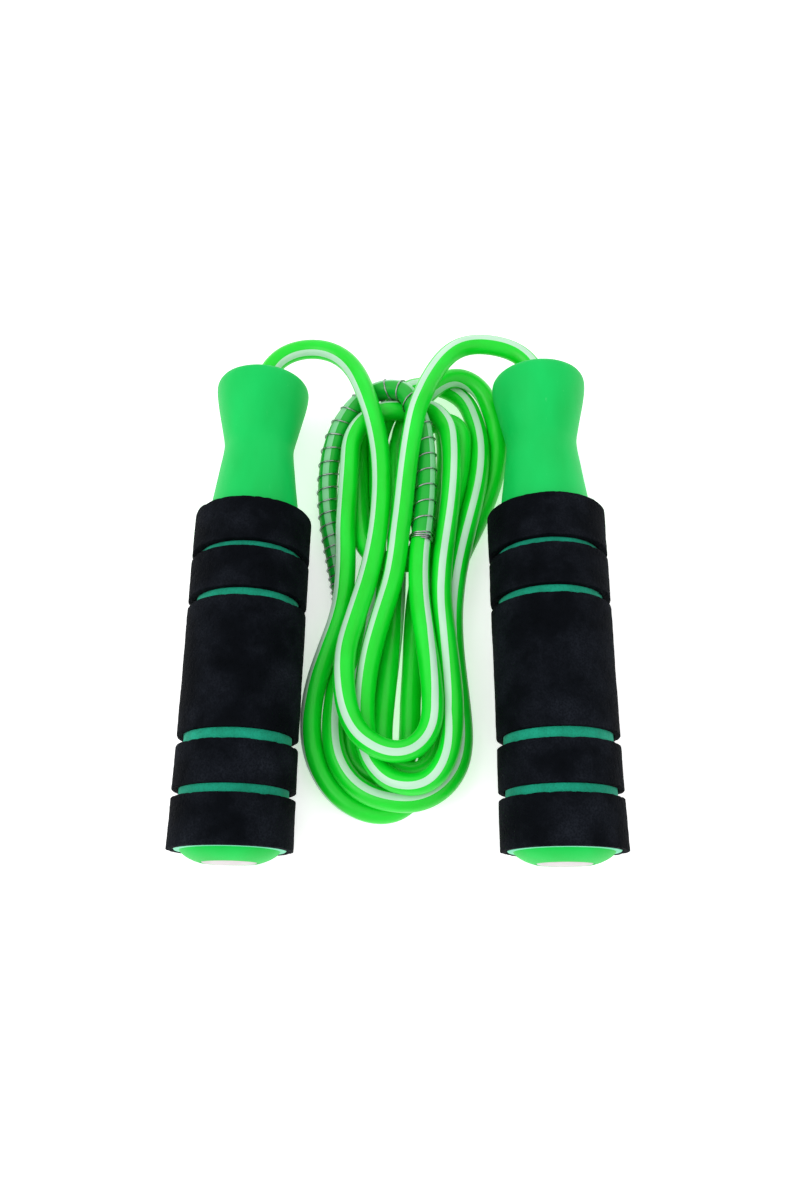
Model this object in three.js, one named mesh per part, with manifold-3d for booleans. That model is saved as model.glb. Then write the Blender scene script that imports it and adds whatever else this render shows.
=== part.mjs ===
// Jump rope with two foam-grip ball-bearing handles, put away as a hank.
//
// Millimetres, +Z up. The two handles lie side by side on the floor (z = 0) with their
// axes along Y: domed end caps towards -Y, rope mouths towards +Y. The hank lies between
// them. Distances along a handle are measured from the rear end of its foam grip, and the
// whole model is then moved so that the origin is under the middle of the handles.

import * as THREE from 'three';
import { mergeVertices } from 'three/addons/utils/BufferGeometryUtils.js';
import Module from 'manifold-3d';

// ---- driving dimensions ------------------------------------------------------------
const gap = 0.3;                  // clearance kept between touching pieces
const gripRadius = 19;            // foam grip, outside
const halfSpacing = 49.5;         // from the middle plane to a handle's axis
const gripLength = 109;
const mouthAt = 162.5;            // front face of the flared mouth
const capDome = 3.6;              // how far the end cap stands proud of the grip
const capDiscRadius = 8.3;        // plain disc set into the middle of the cap
const cordRadius = 3.5;

const tubeRadius = 14.5;          // handle tube under the foam
const tubeBore = 12.4;
const waistRadius = 12.1;
const waistAt = 136.8;
const neckRadius = 15.3;          // handle where it comes out of the grip
const waistBore = 10;
const flareRadius = 16.3;
const flareAt = 159;
const lipRound = 1.6;

const linerOuter = 16.7;          // green inner foam layer
const grooveEdges = [[14.8, 17.4], [30.4, 33.7], [75.1, 78], [91.7, 94.1]];

const bearingRadius = 11;         // ball bearing, 22 x 10.6 x 6
const bearingBore = 5.3;
const bearingRear = 155.4;
const bearingWidth = 6;
const ballCount = 7;
const ballRadius = 1.45;
const ballCircle = 8.1;
const trackRadius = 1.75;
const outerLand = 9;
const innerLand = 7.2;

const cordBore = cordRadius + gap;
const stopLength = 12;
const stopRadius = 6;

const hankHeight = 13.8;          // two layers of cord
const hankFloor = 0.2;
const hankRound = 4;

const springWire = 0.35;
const springRadius = 4.25;        // to the middle of the wire
const springPitch = 4.8;
const springCloseTurns = 3;
const springStepsPerTurn = 10;
const springSides = 3;

const roundSides = 24;
const smallSides = 18;
const pocketSides = 8;
const cordSides = 8;

// ---- materials ---------------------------------------------------------------------
function material(color, roughness, metalness) {
  return () => new THREE.MeshStandardMaterial({ color, roughness, metalness });
}
const greenPlastic = material(0x14cf62, 0.42, 0);
const blackFoam = material(0x101315, 0.95, 0);
const greenFoam = material(0x1b9c70, 0.95, 0);
const paleDisc = material(0xd6d2d4, 0.5, 0);
const greenCord = material(0x1ce03c, 0.3, 0);
const bearingSteel = material(0xb9bcc0, 0.25, 1);
const brassCage = material(0xb08d4c, 0.4, 1);
const springSteel = material(0x54575c, 0.35, 1);
const whiteNylon = material(0xe9e9e4, 0.45, 0);
const crimpAluminium = material(0xa8abb0, 0.4, 1);

// ---- shared helpers ----------------------------------------------------------------
const model = new THREE.Group();

function place(parent, name, geometry, makeMaterial) {
  const mesh = new THREE.Mesh(geometry, makeMaterial());
  mesh.name = name;
  parent.add(mesh);
  return mesh;
}

// A turned piece about the handle's axis. The profile is [radius, distance] corners,
// front to rear on the outside and back again inside, closed here if it leaves the axis.
function turned(corners, sides) {
  const points = corners.map(([radius, along]) => new THREE.Vector2(radius, along));
  if (corners[0][0] > 0) {
    points.push(points[0].clone());
  }
  return new THREE.LatheGeometry(points.reverse(), sides);
}

// Corners of a quarter circle from one angle to another, in degrees.
function arc(centreRadius, centreAlong, radius, fromDegrees, toDegrees, steps) {
  const corners = [];
  for (let i = 0; i <= steps; i += 1) {
    const angle = THREE.MathUtils.degToRad(fromDegrees + (toDegrees - fromDegrees) * i / steps);
    corners.push([centreRadius + radius * Math.cos(angle), centreAlong + radius * Math.sin(angle)]);
  }
  return corners;
}

function polygon(radius, sides) {
  const shape = new THREE.Shape();
  for (let i = 0; i < sides; i += 1) {
    const angle = 2 * Math.PI * i / sides;
    const x = radius * Math.cos(angle);
    const y = radius * Math.sin(angle);
    if (i === 0) {
      shape.moveTo(x, y);
    } else {
      shape.lineTo(x, y);
    }
  }
  shape.closePath();
  return shape;
}

function tube(curve, radius, sides, steps) {
  return new THREE.ExtrudeGeometry(polygon(radius, sides), {
    steps,
    extrudePath: curve,
    bevelEnabled: false,
  });
}

function route(points) {
  return new THREE.CatmullRomCurve3(points.map((p) => new THREE.Vector3(...p)), false, 'centripetal');
}

// ---- booleans ----------------------------------------------------------------------
const wasm = await Module();
wasm.setup();

function toSolid(geometry) {
  const bare = geometry.clone();
  bare.deleteAttribute('normal');
  bare.deleteAttribute('uv');
  const merged = mergeVertices(bare, 1e-4);
  return new wasm.Manifold(new wasm.Mesh({
    numProp: 3,
    vertProperties: new Float32Array(merged.attributes.position.array),
    triVerts: new Uint32Array(merged.index.array),
  }));
}

function toGeometry(solid) {
  const mesh = solid.getMesh();
  const geometry = new THREE.BufferGeometry();
  geometry.setAttribute('position', new THREE.BufferAttribute(new Float32Array(mesh.vertProperties), 3));
  geometry.setIndex(new THREE.BufferAttribute(new Uint32Array(mesh.triVerts), 1));
  geometry.computeVertexNormals();
  return geometry;
}

// ---- handle ------------------------------------------------------------------------
// Moulded handle: a straight tube under the foam, a waist, and a flared mouth that
// holds the bearing.
function handleBody() {
  const outside = [
    ...arc(flareRadius - lipRound, mouthAt - lipRound, lipRound, 90, 0, 3),
    [flareRadius, flareAt],
    [15.3, 153],
    [13.8, 146.3],
    [12.4, 139.5],
    [waistRadius, waistAt],
    [12.4, 132.8],
    [13.8, 121],
    [neckRadius, gripLength + 0.3],
    [tubeRadius, gripLength + 0.1],
    [tubeRadius, 2.3],
  ];
  const inside = [
    [tubeBore, 2.3],
    [tubeBore, 114],
    [waistBore, 122],
    [waistBore, 149],
    [outerLand, 151],
    [outerLand, bearingRear - gap],
    [bearingRadius + gap, bearingRear - gap],
    [bearingRadius + gap, mouthAt],
  ];
  return turned([...outside, ...inside], roundSides);
}

function gripLiner() {
  return turned([
    [linerOuter, gripLength - 0.4],
    [linerOuter, 2.3],
    [tubeRadius + gap, 2.3],
    [tubeRadius + gap, gripLength - 0.4],
  ], roundSides);
}

function gripBand(rear, front) {
  const inner = linerOuter + gap;
  return turned([
    [inner, front],
    [gripRadius, front],
    [gripRadius, rear],
    [inner, rear],
  ], roundSides);
}

function endCap() {
  return turned([
    [0, 2],
    [10.4, 2],
    [10.4, 13],
    [tubeBore - gap, 13],
    [tubeBore - gap, 2],
    [linerOuter, 2],
    [linerOuter, 0.3],
    [linerOuter - 0.3, 0],
    [14.9, 0],
    [13.4, -1.5],
    [12, -2.3],
    [10.3, -3],
    [capDiscRadius + gap, -capDome + 0.2],
    [capDiscRadius + gap, -capDome + 1.2],
    [0, -capDome + 1.2],
  ], roundSides);
}

function capDisc() {
  return turned([
    [0, -capDome + 0.9],
    [capDiscRadius, -capDome + 0.9],
    [capDiscRadius, -capDome],
    [0, -capDome],
  ], smallSides);
}

// ---- bearing and rope fixing -------------------------------------------------------
const bearingFront = bearingRear + bearingWidth;
const bearingMiddle = bearingRear + bearingWidth / 2;
const shieldFront = bearingFront + 0.7;
const bushFlangeFront = bearingFront + 1.5;
const washerFront = bearingRear - gap;
const stopFront = washerFront - 1.2 - gap;
const cordEndAt = stopFront - stopLength - 1;

function outerRace() {
  const depth = Math.asin((outerLand - ballCircle) / trackRadius) * 180 / Math.PI;
  return turned([
    [bearingRadius, bearingFront],
    [bearingRadius, bearingRear],
    [outerLand, bearingRear],
    ...arc(ballCircle, bearingMiddle, trackRadius, depth - 90, 90 - depth, 4),
    [outerLand, bearingFront],
  ], smallSides);
}

function innerRace() {
  const depth = Math.asin((ballCircle - innerLand) / trackRadius) * 180 / Math.PI;
  return turned([
    [innerLand, bearingFront],
    ...arc(ballCircle, bearingMiddle, trackRadius, 90 + depth, 270 - depth, 4),
    [innerLand, bearingRear],
    [bearingBore, bearingRear],
    [bearingBore, bearingFront],
  ], smallSides);
}

function ballAngle(index) {
  return 2 * Math.PI * index / ballCount;
}

function ballPlace(index) {
  const angle = ballAngle(index);
  return [ballCircle * Math.sin(angle), bearingMiddle, ballCircle * Math.cos(angle)];
}

// The cage is a ring between the races with a round pocket for every ball.
function bearingCage() {
  let cage = toSolid(turned([
    [8.65, bearingMiddle + 2.5],
    [8.65, bearingMiddle - 2.5],
    [7.55, bearingMiddle - 2.5],
    [7.55, bearingMiddle + 2.5],
  ], smallSides));
  for (let i = 0; i < ballCount; i += 1) {
    const pocket = new THREE.CylinderGeometry(trackRadius, trackRadius, 4, pocketSides);
    pocket.rotateX(Math.PI / 2);
    pocket.rotateY(ballAngle(i));
    pocket.translate(...ballPlace(i));
    cage = cage.subtract(toSolid(pocket));
  }
  return toGeometry(cage);
}

function bearingShield() {
  return turned([
    [bearingRadius, shieldFront],
    [bearingRadius, bearingFront + gap],
    [7.7, bearingFront + gap],
    [7.7, shieldFront],
  ], smallSides);
}

function ropeBush() {
  const sleeve = bearingBore - gap;
  return turned([
    [cordBore, bushFlangeFront],
    [6.4, bushFlangeFront],
    [7, bushFlangeFront - 0.5],
    [7, bearingFront + gap],
    [sleeve, bearingFront + gap],
    [sleeve, bearingRear],
    [cordBore, bearingRear],
  ], smallSides);
}

function stopWasher() {
  return turned([
    [6.8, washerFront],
    [6.8, washerFront - 1.2],
    [cordBore, washerFront - 1.2],
    [cordBore, washerFront],
  ], smallSides);
}

// Crimped ferrule: a sleeve pressed in around its middle.
function ropeStop() {
  const middle = stopFront - stopLength / 2;
  return turned([
    [stopRadius, stopFront],
    [stopRadius, middle + 2],
    [stopRadius - 0.8, middle + 1],
    [stopRadius - 0.8, middle - 1],
    [stopRadius, middle - 2],
    [stopRadius, stopFront - stopLength],
    [cordBore, stopFront - stopLength],
    [cordBore, stopFront],
  ], smallSides);
}

function addHandle(side, axisX) {
  const handle = new THREE.Group();
  handle.position.set(axisX, 0, gripRadius);
  model.add(handle);

  place(handle, `${side}_handle_body`, handleBody(), greenPlastic);
  place(handle, `${side}_grip_liner`, gripLiner(), greenFoam);
  const bandRears = [0, ...grooveEdges.map((edges) => edges[1])];
  const bandFronts = [...grooveEdges.map((edges) => edges[0]), gripLength];
  bandRears.forEach((rear, i) => {
    place(handle, `${side}_grip_band_${i + 1}`, gripBand(rear, bandFronts[i]), blackFoam);
  });
  place(handle, `${side}_end_cap`, endCap(), greenPlastic);
  place(handle, `${side}_cap_disc`, capDisc(), paleDisc);

  place(handle, `${side}_bearing_outer_race`, outerRace(), bearingSteel);
  place(handle, `${side}_bearing_inner_race`, innerRace(), bearingSteel);
  place(handle, `${side}_bearing_cage`, bearingCage(), brassCage);
  for (let i = 0; i < ballCount; i += 1) {
    const ball = place(handle, `${side}_bearing_ball_${i + 1}`,
      new THREE.SphereGeometry(ballRadius, 8, 5), bearingSteel);
    ball.position.set(...ballPlace(i));
  }
  place(handle, `${side}_bearing_shield`, bearingShield(), bearingSteel);
  place(handle, `${side}_rope_bush`, ropeBush(), whiteNylon);
  place(handle, `${side}_stop_washer`, stopWasher(), bearingSteel);
  place(handle, `${side}_rope_stop`, ropeStop(), crimpAluminium);
}

addHandle('left', -halfSpacing);
addHandle('right', halfSpacing);

// ---- cord --------------------------------------------------------------------------
// Top layer of the hank: both leads leave their handles straight, arch inwards and lie
// side by side down the left of the hank. The left lead turns at the bottom inside the
// right one and runs up to the wear spring.
const layer = hankFloor + hankHeight + gap + cordRadius;
const springLayer = hankFloor + hankHeight + gap + springRadius + springWire;
const overSpring = springLayer + springRadius + springWire + gap + cordRadius;
const overCord = layer + 2 * cordRadius + gap;

const leftLeadRoute = [
  [-halfSpacing, cordEndAt, gripRadius],
  [-halfSpacing, mouthAt - 4, gripRadius],
  [-halfSpacing, mouthAt + 2, gripRadius],
  [-48.3, 170.2, gripRadius + 0.7],
  [-44.8, 175.2, gripRadius + 1.6],
  [-39.6, 178.5, 22],
  [-33.5, 179.6, 23.2],
  [-26.5, 178.6, 24.4],
  [-19.6, 174.4, 25.8],
  [-14, 166.5, overSpring],
  [-10, 155, overSpring],
  [-7.6, 143, 23],
  [-6.8, 130, layer + 0.6],
  [-7, 116, layer],
  [-7.8, 102, layer],
  [-10, 88, layer],
  [-13.8, 75, layer],
  [-17.2, 63, layer + 2],
  [-17.2, 51, overCord],
  [-15.2, 41, overCord + 0.4],
  [-10.6, 33.8, overCord + 0.8],
  [-3, 29.6, overCord - 0.6],
  [5, 29.9, layer + 2.5],
  [10.6, 35.2, layer + 0.6],
  [12.4, 43, layer],
  [11.4, 55, layer],
  [9.2, 68, layer],
  [7.5, 81, layer],
  [7.5, 92, layer + 0.4],
  [8.4, 101, springLayer],
];

const springCordRoute = [
  [8.5, 102, springLayer],
  [9.9, 113, springLayer],
  [11, 126, springLayer],
  [11.2, 139, springLayer],
  [9.8, 149.5, springLayer],
  [4.9, 157.8, springLayer],
  [-3, 162, springLayer],
  [-11.8, 160.8, springLayer],
  [-19.3, 154.4, springLayer],
  [-24.2, 144, springLayer],
  [-26, 131, springLayer],
  [-25.4, 116, springLayer],
  [-22.4, 100, springLayer],
  [-19, 86, springLayer],
];

const rightLeadRoute = [
  [halfSpacing, cordEndAt, gripRadius],
  [halfSpacing, mouthAt - 4, gripRadius],
  [halfSpacing, mouthAt + 2, gripRadius],
  [48.3, 170, gripRadius + 0.7],
  [44.8, 174.8, gripRadius + 1.5],
  [39.6, 178, 21.7],
  [33.5, 179.1, 22.7],
  [26, 178.4, 23.8],
  [18.8, 174.6, 25.2],
  [12.4, 167, overSpring],
  [7, 156, overSpring + 0.4],
  [3, 143, 24],
  [1.6, 130, layer + 0.6],
  [0.8, 116, layer],
  [-0.2, 102, layer],
  [-2, 88, layer],
  [-5.6, 75, layer],
  [-9.2, 62, layer],
  [-11, 49, layer],
  [-10.6, 36, layer],
  [-6.6, 26.4, layer],
  [1.6, 20.6, layer],
  [10.8, 21.2, layer],
  [17.4, 27.8, layer],
  [20, 38, layer],
  [19.6, 52, layer],
  [17.4, 67, layer],
  [15.8, 82, layer],
  [16.6, 97, layer],
  [19, 112, layer],
  [20.6, 128, layer],
  [20.6, 143, layer],
  [18.8, 153, layer],
];

// Outer shape of the lower layers of the hank, seen from above.
const hankOutline = [
  [-2, 9.3],
  [10, 11.6],
  [18, 17.6],
  [22.4, 28],
  [22.8, 42],
  [21, 60],
  [20.1, 76],
  [22.6, 93],
  [29.4, 111],
  [35.4, 130],
  [35.8, 143],
  [32.8, 157],
  [27, 168],
  [18, 173.6],
  [4, 170.6],
  [-9, 166.5],
  [-20.5, 158],
  [-28.5, 145],
  [-30, 128],
  [-28, 110],
  [-25, 92],
  [-25.6, 76],
  [-29, 62],
  [-31, 47],
  [-29.8, 31],
  [-23.6, 18.4],
  [-13.6, 11.2],
];

// Wire of the wear spring: a helix around the cord's own curve.
class SpringCurve extends THREE.Curve {
  constructor(core, turns, closeShare) {
    super();
    this.core = core;
    this.turns = turns;
    this.closeShare = closeShare;
  }

  // Share of the spring's length reached at share t of its turns.
  travel(t) {
    const closeTurnsShare = springCloseTurns / this.turns;
    if (t < closeTurnsShare) {
      return this.closeShare * t / closeTurnsShare;
    }
    if (t > 1 - closeTurnsShare) {
      return 1 - this.closeShare * (1 - t) / closeTurnsShare;
    }
    const open = (t - closeTurnsShare) / (1 - 2 * closeTurnsShare);
    return this.closeShare + (1 - 2 * this.closeShare) * open;
  }

  getPoint(t, target = new THREE.Vector3()) {
    const at = THREE.MathUtils.clamp(this.travel(t), 0, 1);
    const along = this.core.getTangentAt(at);
    const aside = new THREE.Vector3(along.y, -along.x, 0).normalize();
    const up = new THREE.Vector3().crossVectors(aside, along).normalize();
    const angle = 2 * Math.PI * this.turns * t;
    target.copy(this.core.getPointAt(at));
    target.addScaledVector(aside, springRadius * Math.cos(angle));
    target.addScaledVector(up, springRadius * Math.sin(angle));
    return target;
  }
}

function wearSpring(core) {
  const length = core.getLength();
  const closeLength = springCloseTurns * 3 * springWire;
  const openTurns = Math.round((length - 2 * closeLength) / springPitch);
  const turns = openTurns + 2 * springCloseTurns;
  const wire = new SpringCurve(core, turns, closeLength / length);
  return tube(wire, springWire, springSides, turns * springStepsPerTurn);
}

function hank() {
  const outline = new THREE.CatmullRomCurve3(
    hankOutline.map(([x, y]) => new THREE.Vector3(x, y, 0)), true, 'centripetal');
  const shape = new THREE.Shape(outline.getSpacedPoints(40).slice(0, -1)
    .map((p) => new THREE.Vector2(p.x, p.y)));
  const solid = new THREE.ExtrudeGeometry(shape, {
    depth: hankHeight - 2 * hankRound,
    bevelThickness: hankRound,
    bevelSize: hankRound,
    bevelOffset: -hankRound,
    bevelSegments: 2,
  });
  solid.translate(0, 0, hankFloor + hankRound);
  return solid;
}

const springCore = route(springCordRoute);
place(model, 'left_lead', tube(route(leftLeadRoute), cordRadius, cordSides, 28), greenCord);
place(model, 'right_lead', tube(route(rightLeadRoute), cordRadius, cordSides, 34), greenCord);
place(model, 'spring_cord', tube(springCore, cordRadius, cordSides, 36), greenCord);
place(model, 'wear_spring', wearSpring(springCore), springSteel);
place(model, 'cord_hank', hank(), greenCord);

model.position.y = -(bushFlangeFront - capDome) / 2;

export default model;
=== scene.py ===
# Jump rope with foam-grip ball-bearing handles: the visual model, built around the packed
# CAD frame. Metres; the handles lie along Y with their end caps towards -Y. Distances
# along a handle ("along") are counted from the rear end of its foam grip, as in the CAD.
import math

import bpy
import numpy as np
from mathutils import Matrix, Vector, noise


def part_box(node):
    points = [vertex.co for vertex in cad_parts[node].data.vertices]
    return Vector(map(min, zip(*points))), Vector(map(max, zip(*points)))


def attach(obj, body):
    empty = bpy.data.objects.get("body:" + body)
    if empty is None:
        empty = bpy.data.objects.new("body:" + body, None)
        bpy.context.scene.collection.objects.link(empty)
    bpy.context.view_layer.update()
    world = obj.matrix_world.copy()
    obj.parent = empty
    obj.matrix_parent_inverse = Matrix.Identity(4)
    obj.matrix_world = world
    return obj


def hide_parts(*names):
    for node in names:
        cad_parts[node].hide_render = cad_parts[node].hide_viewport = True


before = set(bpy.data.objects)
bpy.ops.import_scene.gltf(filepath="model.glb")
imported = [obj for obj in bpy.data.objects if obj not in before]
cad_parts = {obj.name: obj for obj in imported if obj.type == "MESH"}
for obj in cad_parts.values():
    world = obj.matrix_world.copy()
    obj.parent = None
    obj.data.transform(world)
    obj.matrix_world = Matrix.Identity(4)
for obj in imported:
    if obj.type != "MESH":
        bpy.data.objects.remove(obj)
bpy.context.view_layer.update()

SIDES = ("left", "right")

# ---- sizes ------------------------------------------------------------------------------
CORD_RADIUS = 0.0035
CORD_GAP = 0.0001                 # left between two strands that lie on each other
HANDLE_GAP = 0.0003               # left between the cord and a handle

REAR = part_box("left_grip_band_1")[0][1]      # rear end of the foam grips, in the row frame
AXIS_X = {side: (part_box(f"{side}_handle_body")[0][0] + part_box(f"{side}_handle_body")[1][0]) / 2
          for side in SIDES}
GRIP_RADIUS = (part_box("left_grip_band_3")[1][2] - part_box("left_grip_band_3")[0][2]) / 2
AXIS_Z = GRIP_RADIUS
CORD_END = 0.1406                 # the cord's end, inside the crimped stop
MOUTH = 0.1625                    # front face of a handle

WIRE_RADIUS = 0.00026
WIRE_CLEARANCE = 0.00005          # between the wire and the cord
SPRING_PITCH = 0.0048
CLOSE_TURNS = 3                   # at each end of the spring

# ---- camera -----------------------------------------------------------------------------
CAMERA_PLACE = Vector((0.01315, -0.10649, 0.29393))
CAMERA_DOWN = 68.65               # below the horizon, looking towards +Y
CAMERA_YAW = 6.68
CAMERA_ROLL = -6.72
CAMERA_LENS = 27.0


def make_camera():
    down = math.radians(CAMERA_DOWN)
    turn = Matrix.Rotation(math.radians(CAMERA_YAW), 3, "Z")
    ahead = turn @ Vector((0, math.cos(down), -math.sin(down)))
    up = turn @ Vector((0, math.sin(down), math.cos(down)))
    right = turn @ Vector((1, 0, 0))
    roll = math.radians(CAMERA_ROLL)
    rolled_right = math.cos(roll) * right + math.sin(roll) * up
    rolled_up = math.cos(roll) * up - math.sin(roll) * right
    data = bpy.data.cameras.new("camera")
    data.lens = CAMERA_LENS
    camera = bpy.data.objects.new("camera", data)
    axes = Matrix((rolled_right, rolled_up, -ahead)).transposed()
    camera.matrix_world = Matrix.Translation(CAMERA_PLACE) @ axes.to_4x4()
    bpy.context.scene.collection.objects.link(camera)
    bpy.context.scene.camera = camera


make_camera()

# ---- the cord's route -------------------------------------------------------------------
# Heights are those at which each strand is laid; it then settles on what is under it.
FLOOR, LOW, MIDDLE, HIGH = 0.0035, 0.0115, 0.0195, 0.0275

LEFT_LEAD = [
    (-0.0495, CORD_END, AXIS_Z), (-0.0495, 0.1585, AXIS_Z), (-0.0495, 0.1645, AXIS_Z),
    (-0.0485, 0.170, 0.0194), (-0.0455, 0.175, 0.0204), (-0.0407, 0.1785, 0.0217),
    (-0.0345, 0.180, 0.023), (-0.0272, 0.1792, 0.0243), (-0.0206, 0.1755, 0.0258),
    (-0.0152, 0.1685, 0.0275), (-0.0110, 0.158, 0.029), (-0.0076, 0.145, 0.0295),
    (-0.0058, 0.131, 0.0285), (-0.0058, 0.116, HIGH), (-0.0072, 0.102, HIGH),
    (-0.010, 0.088, HIGH), (-0.0138, 0.075, HIGH), (-0.0170, 0.063, 0.0295),
    (-0.0172, 0.051, 0.0325), (-0.0152, 0.0405, 0.0335), (-0.0106, 0.0328, 0.034),
    (-0.003, 0.0284, 0.034), (0.005, 0.0288, 0.034), (0.0108, 0.0345, 0.034),
    (0.0126, 0.043, 0.034), (0.0116, 0.055, 0.032), (0.0092, 0.068, 0.029),
    (0.0073, 0.081, HIGH), (0.0069, 0.092, HIGH), (0.0075, 0.101, HIGH),
]
SPRING_PART = [
    (0.0090, 0.113, HIGH), (0.0100, 0.126, HIGH), (0.0101, 0.139, HIGH),
    (0.0088, 0.149, HIGH), (0.0045, 0.1585, HIGH), (-0.0035, 0.1632, HIGH),
    (-0.0122, 0.1618, HIGH), (-0.0194, 0.1545, HIGH), (-0.0242, 0.144, HIGH),
    (-0.0262, 0.131, HIGH), (-0.0256, 0.116, HIGH), (-0.0226, 0.100, 0.0225),
]
RIGHT_LEAD = [
    (0.0495, CORD_END, AXIS_Z), (0.0495, 0.1585, AXIS_Z), (0.0495, 0.1635, AXIS_Z),
    (0.0484, 0.1688, 0.0194), (0.0453, 0.1733, 0.0203), (0.0405, 0.1766, 0.0215),
    (0.034, 0.1784, 0.0227), (0.0262, 0.1786, 0.024), (0.0196, 0.176, 0.0258),
    (0.0143, 0.170, 0.0275), (0.0098, 0.1615, 0.029), (0.006, 0.152, 0.0295),
    (0.0040, 0.140, 0.029), (0.0026, 0.128, 0.028), (0.0016, 0.115, HIGH),
    (0.0004, 0.102, HIGH), (-0.0016, 0.088, HIGH), (-0.0056, 0.075, HIGH),
    (-0.0092, 0.062, HIGH), (-0.011, 0.049, HIGH), (-0.0106, 0.036, HIGH),
    (-0.0068, 0.0252, HIGH), (0.0012, 0.0190, HIGH), (0.0098, 0.0197, HIGH),
    (0.0150, 0.0272, HIGH), (0.0167, 0.038, HIGH), (0.0162, 0.052, 0.0255),
    (0.0152, 0.067, 0.0235), (0.0140, 0.082, 0.0225), (0.0144, 0.093, 0.0225),
    (0.0158, 0.104, 0.0225), (0.0176, 0.117, 0.0225), (0.0186, 0.130, 0.0225),
    (0.0186, 0.142, 0.0225),
]

# The turns under them. Each lane is (x, height) at the bulb, the waist and the shoulder of
# the hank's left and right side; a bend is (x of its tip, y of its tip, height). Some turns
# have their own sill and their own powers for the two corners of the bottom bend.
OUTER_TURN = dict(
    left=((-0.0278, FLOOR), (-0.0174, MIDDLE), (-0.0180, MIDDLE)),
    bottom=(-0.0050, 0.0120, FLOOR),
    right=((0.0112, FLOOR), (0.0140, FLOOR), (0.0338, FLOOR)),
    top=(0.0190, 0.1735, LOW),
)
STRIPED_TURN = dict(
    left=((-0.0220, LOW), (-0.0190, LOW), (-0.0125, LOW)),
    bottom=(0.0005, 0.0148, LOW), left_corner=2.35,
    right=((0.0185, LOW), (0.0164, LOW), (0.0296, LOW)),
    top=(0.0150, 0.1712, LOW),
)
INNER_TURN = dict(
    left=((-0.0186, FLOOR), (-0.0100, FLOOR), (-0.0088, LOW)),
    bottom=(-0.0078, 0.0238, FLOOR), sill=0.0345, right_corner=2.0,
    right=((0.0030, FLOOR), (0.0044, FLOOR), (0.0176, FLOOR)),
    top=(0.0075, 0.1640, FLOOR),
)
FOLD = dict(                      # where the doubled cord is folded back on itself
    left=((-0.0120, LOW), (-0.0122, LOW), (-0.0140, FLOOR)),
    bottom=(0.0010, 0.0955, LOW), sill=0.1085, right_corner=2.0,
    right=((0.0140, LOW), (0.0143, LOW), (0.0016, LOW)),
    top=(0.0134, 0.1555, LOW),
)
BACK_TURN = dict(
    left=((-0.0054, LOW), (-0.0016, LOW), (-0.0020, FLOOR)),
    bottom=(0.0052, 0.0226, LOW), sill=0.0335, right_corner=2.0,
    right=((0.0160, LOW), (0.0095, LOW), (0.0246, LOW)),
    top=(0.0140, 0.1640, LOW),
)
SILL = 0.040                      # y where the bulb's sides meet the bottom bend
LEFT_LEVELS = (0.088, 0.130)      # y of the left side's waist and shoulder
RIGHT_LEVELS = (0.075, 0.145)
SHOULDER = 0.145
OUTSIDE_POWER = 2.4               # of the superellipses of the bends
BOTTOM_POWER = 2.0
INSIDE_POWER = 1.7
SIDE_STEP = 0.0125
UNDER_SPRING = 0.092              # y where the striped turn comes out of the spring
LAST_OVER_LEVEL = 0.141           # the bend between the leads, from the outer turn's left side
LAST_OVER_TIP = (0.002, 0.1580, MIDDLE)


def ease(a, b, share):
    share = min(1.0, max(0.0, share))
    return a + (b - a) * share * share * (3 - 2 * share)


def bend(from_x, to_x, level, tip, powers, count=6):
    """Points of two quarter superellipses, from one side of the hank to its tip and on to
    the other side."""
    tip_x, tip_y, height = tip
    points = []
    for i in range(count):
        across = -math.cos(math.pi * (0.12 + 0.76 * i / (count - 1)))
        power, reach = ((powers[0], tip_x - from_x) if across < 0
                        else (powers[1], to_x - tip_x))
        out = (1 - abs(across) ** power) ** (1 / power)
        points.append((tip_x + reach * across, level + (tip_y - level) * out, height))
    return points


def lane_points(lane, levels, sill):
    """Points up one side of the hank, from its bottom bend to its shoulder."""
    (bulb, waist, shoulder), (waist_y, shoulder_y) = lane, levels
    count = int((SHOULDER - sill) / SIDE_STEP)
    points = []
    for i in range(count + 1):
        y = sill + (SHOULDER - sill) * i / count
        if y < waist_y:
            share = (y - sill) / (waist_y - sill)
            x, height = (ease(a, b, share) for a, b in zip(bulb, waist))
        else:
            share = (y - waist_y) / (shoulder_y - waist_y)
            x, height = (ease(a, b, share) for a, b in zip(waist, shoulder))
        points.append((x, y, height))
    return points


def turn(lanes, next_x=None):
    """A turn seen from above, anticlockwise from the top of its left side: down that side,
    round the bottom, up the right side and, if next_x is given, over the top to it."""
    sill = lanes.get("sill", SILL)
    left = lane_points(lanes["left"], LEFT_LEVELS, sill)
    right = lane_points(lanes["right"], RIGHT_LEVELS, sill)
    bottom = bend(left[0][0], right[0][0], sill, lanes["bottom"],
                  (lanes.get("left_corner", BOTTOM_POWER),
                   lanes.get("right_corner", OUTSIDE_POWER)))
    over = [] if next_x is None else bend(right[-1][0], next_x, SHOULDER, lanes["top"],
                                          (OUTSIDE_POWER, INSIDE_POWER))
    return left[::-1], bottom, right, over


def shoulder_x(lanes, which):
    """x of a turn's left or right side at its shoulder."""
    return lanes[which][2][0]


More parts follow.
